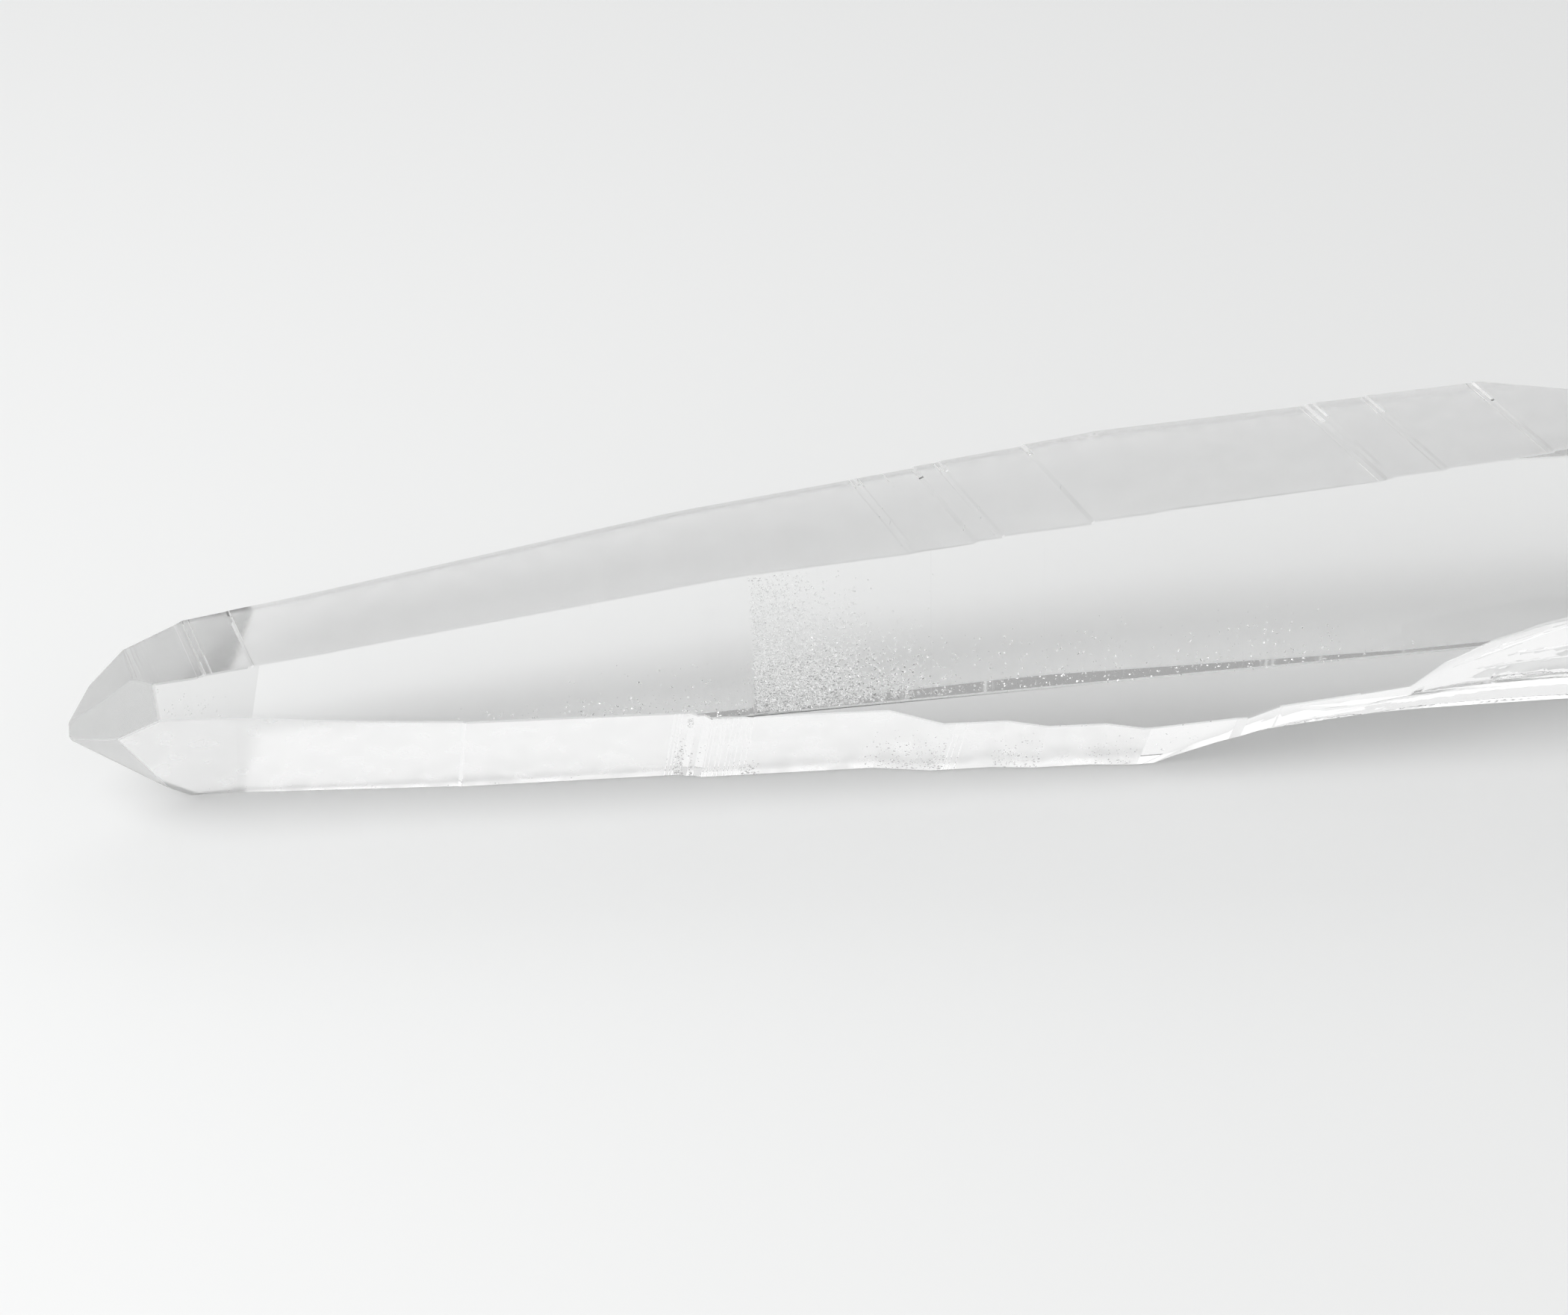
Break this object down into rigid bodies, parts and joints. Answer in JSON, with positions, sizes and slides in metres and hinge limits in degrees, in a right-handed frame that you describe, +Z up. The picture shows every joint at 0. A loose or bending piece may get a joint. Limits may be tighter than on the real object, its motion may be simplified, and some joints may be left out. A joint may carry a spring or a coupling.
{
  "type": "laser quartz crystal",
  "caption": "Long clear six-sided quartz crystal that widens from a small pyramid tip to a curved break at its base, with stepped growth ladders across its faces.",
  "frame": {"origin": "middle of the crystal's footprint, on the plane of the prism face it lies on", "axes": "+X along the crystal from its tip to its broken base, +Y to the rear, +Z up"},
  "size_m": [0.1462, 0.0284, 0.0266],
  "materials": {
    "clear_quartz": "clear rock crystal, satin on its ladder faces, with etched frost along some edges"
  },
  "bodies": {
    "root": {"crystal": "clear_quartz"}
  },
  "joints": []
}
